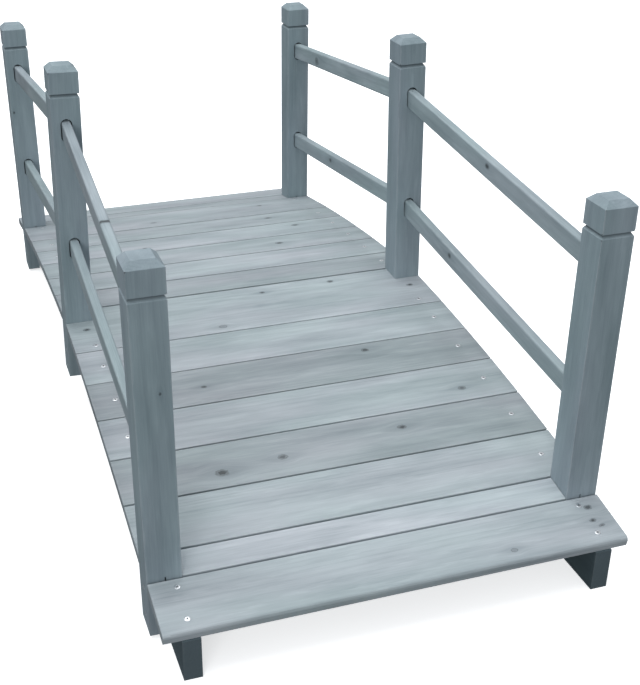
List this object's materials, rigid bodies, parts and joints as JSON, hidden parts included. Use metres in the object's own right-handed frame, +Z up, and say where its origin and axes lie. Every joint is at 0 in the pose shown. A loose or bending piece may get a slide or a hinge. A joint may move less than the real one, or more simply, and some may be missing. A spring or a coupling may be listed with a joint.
{
  "type": "wooden garden footbridge",
  "caption": "Small arched timber footbridge with a plank deck on curved beams and a post-and-rail railing along each side.",
  "frame": {"origin": "on the ground below the middle of the bridge", "axes": "+X along the bridge from its front end to its back end, +Y to the left side, +Z up"},
  "size_m": [1.52, 0.6702, 0.6132],
  "materials": {
    "deck_wood": "blue-grey stained softwood boards with fine lengthwise grain and small knots",
    "rail_wood": "blue-grey stained softwood, rounded edges",
    "post_wood": "darker blue-grey stained softwood",
    "beam_wood": "dark blue-grey stained softwood",
    "screw_zinc": "bright zinc-plated countersunk screw heads"
  },
  "bodies": {
    "root": {"beam_left": "beam_wood", "beam_right": "beam_wood", "post_front_left": "post_wood", "post_front_right": "post_wood", "post_middle_left": "post_wood", "post_middle_right": "post_wood", "post_back_left": "post_wood", "post_back_right": "post_wood", "rail_top_front_left": "rail_wood", "rail_top_front_right": "rail_wood", "rail_top_back_left": "rail_wood", "rail_top_back_right": "rail_wood", "rail_bottom_front_left": "rail_wood", "rail_bottom_front_right": "rail_wood", "rail_bottom_back_left": "rail_wood", "rail_bottom_back_right": "rail_wood", "board_01": "deck_wood", "board_02": "deck_wood", "board_03": "deck_wood", "board_04": "deck_wood", "board_05": "deck_wood", "board_06": "deck_wood", "board_07": "deck_wood", "board_08": "deck_wood", "board_09": "deck_wood", "board_10": "deck_wood", "board_11": "deck_wood", "board_12": "deck_wood", "board_13": "deck_wood", "board_14": "deck_wood", "board_15": "deck_wood", "board_16": "deck_wood"}
  },
  "joints": []
}
